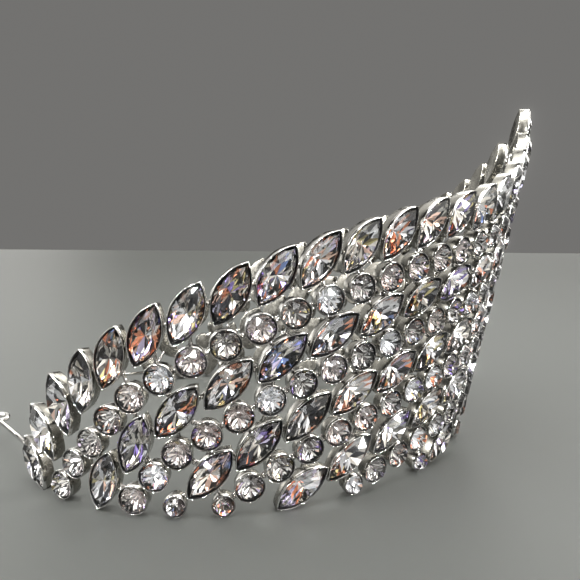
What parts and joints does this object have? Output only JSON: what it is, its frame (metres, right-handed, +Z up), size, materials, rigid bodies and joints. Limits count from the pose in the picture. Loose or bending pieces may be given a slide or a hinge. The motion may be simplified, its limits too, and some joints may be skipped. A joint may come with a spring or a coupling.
{
  "type": "diadem",
  "caption": "Tall crystal diadem that climbs to a front peak, rows of pointed and round stones in soldered silver cups, with end loops for hair pins.",
  "frame": {"origin": "middle of the head opening, at the height of the lower edge", "axes": "+Z up, the peak faces -Y, the open back faces +Y, +X to the wearer's left"},
  "size_m": [0.1584, 0.175, 0.1075],
  "materials": {
    "silver_metal": "polished silver plate, darker on the cups' backs",
    "crest_glass": "clear cut crystal with bright and dark facets",
    "leaf_glass": "clear cut crystal with violet and orange flashes",
    "round_glass": "clear cut crystal with a star of facets",
    "small_glass": "clear cut crystal"
  },
  "bodies": {
    "root": {"frame": "silver_metal", "peak_stone": "crest_glass", "leaf_stones": "leaf_glass", "round_stones": "round_glass", "small_stones": "small_glass", "crest_left_1": "crest_glass", "crest_left_2": "crest_glass", "crest_left_3": "crest_glass", "crest_left_4": "crest_glass", "crest_left_5": "crest_glass", "crest_left_6": "crest_glass", "crest_left_7": "crest_glass", "crest_left_8": "crest_glass", "crest_left_9": "crest_glass", "crest_left_10": "crest_glass", "crest_left_11": "crest_glass", "crest_left_12": "crest_glass", "crest_left_13": "crest_glass", "crest_left_14": "crest_glass", "crest_left_15": "crest_glass", "crest_left_16": "crest_glass", "crest_left_17": "crest_glass", "crest_left_18": "crest_glass", "crest_left_19": "crest_glass", "crest_right_1": "crest_glass", "crest_right_2": "crest_glass", "crest_right_3": "crest_glass", "crest_right_4": "crest_glass", "crest_right_5": "crest_glass", "crest_right_6": "crest_glass", "crest_right_7": "crest_glass", "crest_right_8": "crest_glass", "crest_right_9": "crest_glass", "crest_right_10": "crest_glass", "crest_right_11": "crest_glass", "crest_right_12": "crest_glass", "crest_right_13": "crest_glass", "crest_right_14": "crest_glass", "crest_right_15": "crest_glass", "crest_right_16": "crest_glass", "crest_right_17": "crest_glass", "crest_right_18": "crest_glass", "crest_right_19": "crest_glass"}
  },
  "joints": []
}
